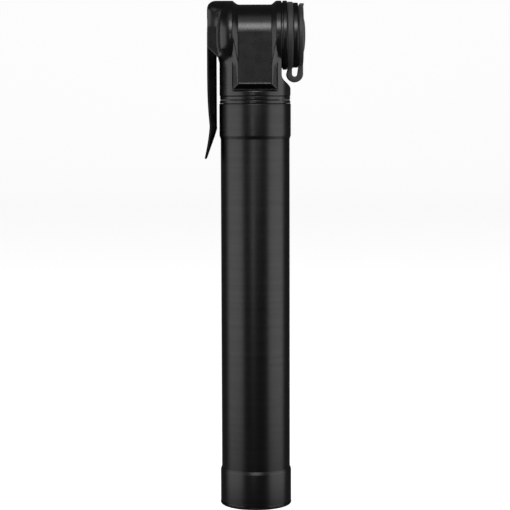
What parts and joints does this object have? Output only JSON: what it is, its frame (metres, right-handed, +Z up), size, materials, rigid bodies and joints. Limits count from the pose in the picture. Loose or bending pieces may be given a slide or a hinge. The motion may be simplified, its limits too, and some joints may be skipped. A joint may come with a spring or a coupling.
{
  "type": "mini bicycle pump",
  "caption": "Slim telescoping hand pump with a side-entry chuck head, a long lock lever and a rubber dust cap on a strap loop.",
  "frame": {"origin": "centre of the end plug's flat bottom face, on which the pump stands", "axes": "+Z up the barrel to the head, +X out of the valve port, -X on the lever's side"},
  "size_m": [0.0371, 0.0264, 0.1868],
  "materials": {
    "anodised": "fine turned, black anodised, satin",
    "housing": "satin moulded",
    "lever": "smooth dark",
    "nut": "smooth semi-gloss",
    "rubber": "matte moulded",
    "seal": "greased smooth",
    "silicone": "smooth",
    "felt": "felted",
    "acetal": "turned",
    "steel": "ground",
    "polished": "polished"
  },
  "bodies": {
    "barrel": {"barrel_tube": "anodised", "barrel_collar": "anodised", "end_sleeve": "anodised", "end_plug": "housing", "plug_seal": "seal", "end_bumper": "seal", "guide_bush": "housing", "piston_rod": "steel", "piston": "acetal", "piston_seal": "seal", "umbrella_valve": "silicone"},
    "swivel": {"wiper_ring": "felt"},
    "head": {"charge_piston": "acetal", "charge_seal": "seal", "rod_seal": "seal", "top_bumper": "seal", "inner_barrel": "polished", "barrel_gasket": "seal", "valve_seat": "acetal", "check_spring": "steel", "neck_ring": "housing", "head_housing": "housing", "lever_pin": "steel", "valve_gland": "rubber", "nut_seal": "seal", "chuck_nut": "nut", "cap_ring": "rubber"},
    "strap": {"cap_strap": "rubber"},
    "plunger": {"plunger": "acetal", "plunger_seal": "seal", "gland_washer": "steel"},
    "lever": {"lock_lever": "lever"},
    "cap": {"dust_cap": "rubber"},
    "check": {"check_poppet": "silicone"}
  },
  "joints": [
    {"name": "head_turn", "type": "hinge", "parent": "barrel", "child": "swivel", "pos_m": [0, 0, 0.14], "axis": [0, 0, 1], "continuous": true},
    {"name": "pump_stroke", "type": "slide", "parent": "swivel", "child": "head", "axis": [0, 0, 1], "range_m": [0, 0.113]},
    {"name": "lever_swing", "type": "hinge", "parent": "head", "child": "lever", "pos_m": [-0.01235, 0, 0.1742], "axis": [0, 1, 0], "range_deg": [0, 90]},
    {"name": "plunger_push", "type": "slide", "parent": "head", "child": "plunger", "axis": [1, 0, 0], "range_m": [0, 0.00213], "deforming": ["valve_gland"]},
    {"name": "strap_bend", "type": "hinge", "parent": "head", "child": "strap", "pos_m": [0.0131, 0, 0.15866], "axis": [0, 1, 0], "range_deg": [0, 60], "deforming": ["cap_strap"]},
    {"name": "cap_bend", "type": "hinge", "parent": "strap", "child": "cap", "pos_m": [0.01598, 0, 0.15866], "axis": [0, 1, 0], "range_deg": [0, 61], "deforming": ["cap_strap"]},
    {"name": "check_lift", "type": "slide", "parent": "head", "child": "check", "axis": [0, 0, 1], "range_m": [0, 0.0008], "stiffness_N_per_m": 150, "springref_m": -0.001, "deforming": ["check_spring"]}
  ],
  "couplings": [
    {"joint": "plunger_push", "follows": "lever_swing", "m_per_rad": 0.00135},
    {"joint": "cap_bend", "follows": "strap_bend", "ratio": 1}
  ]
}
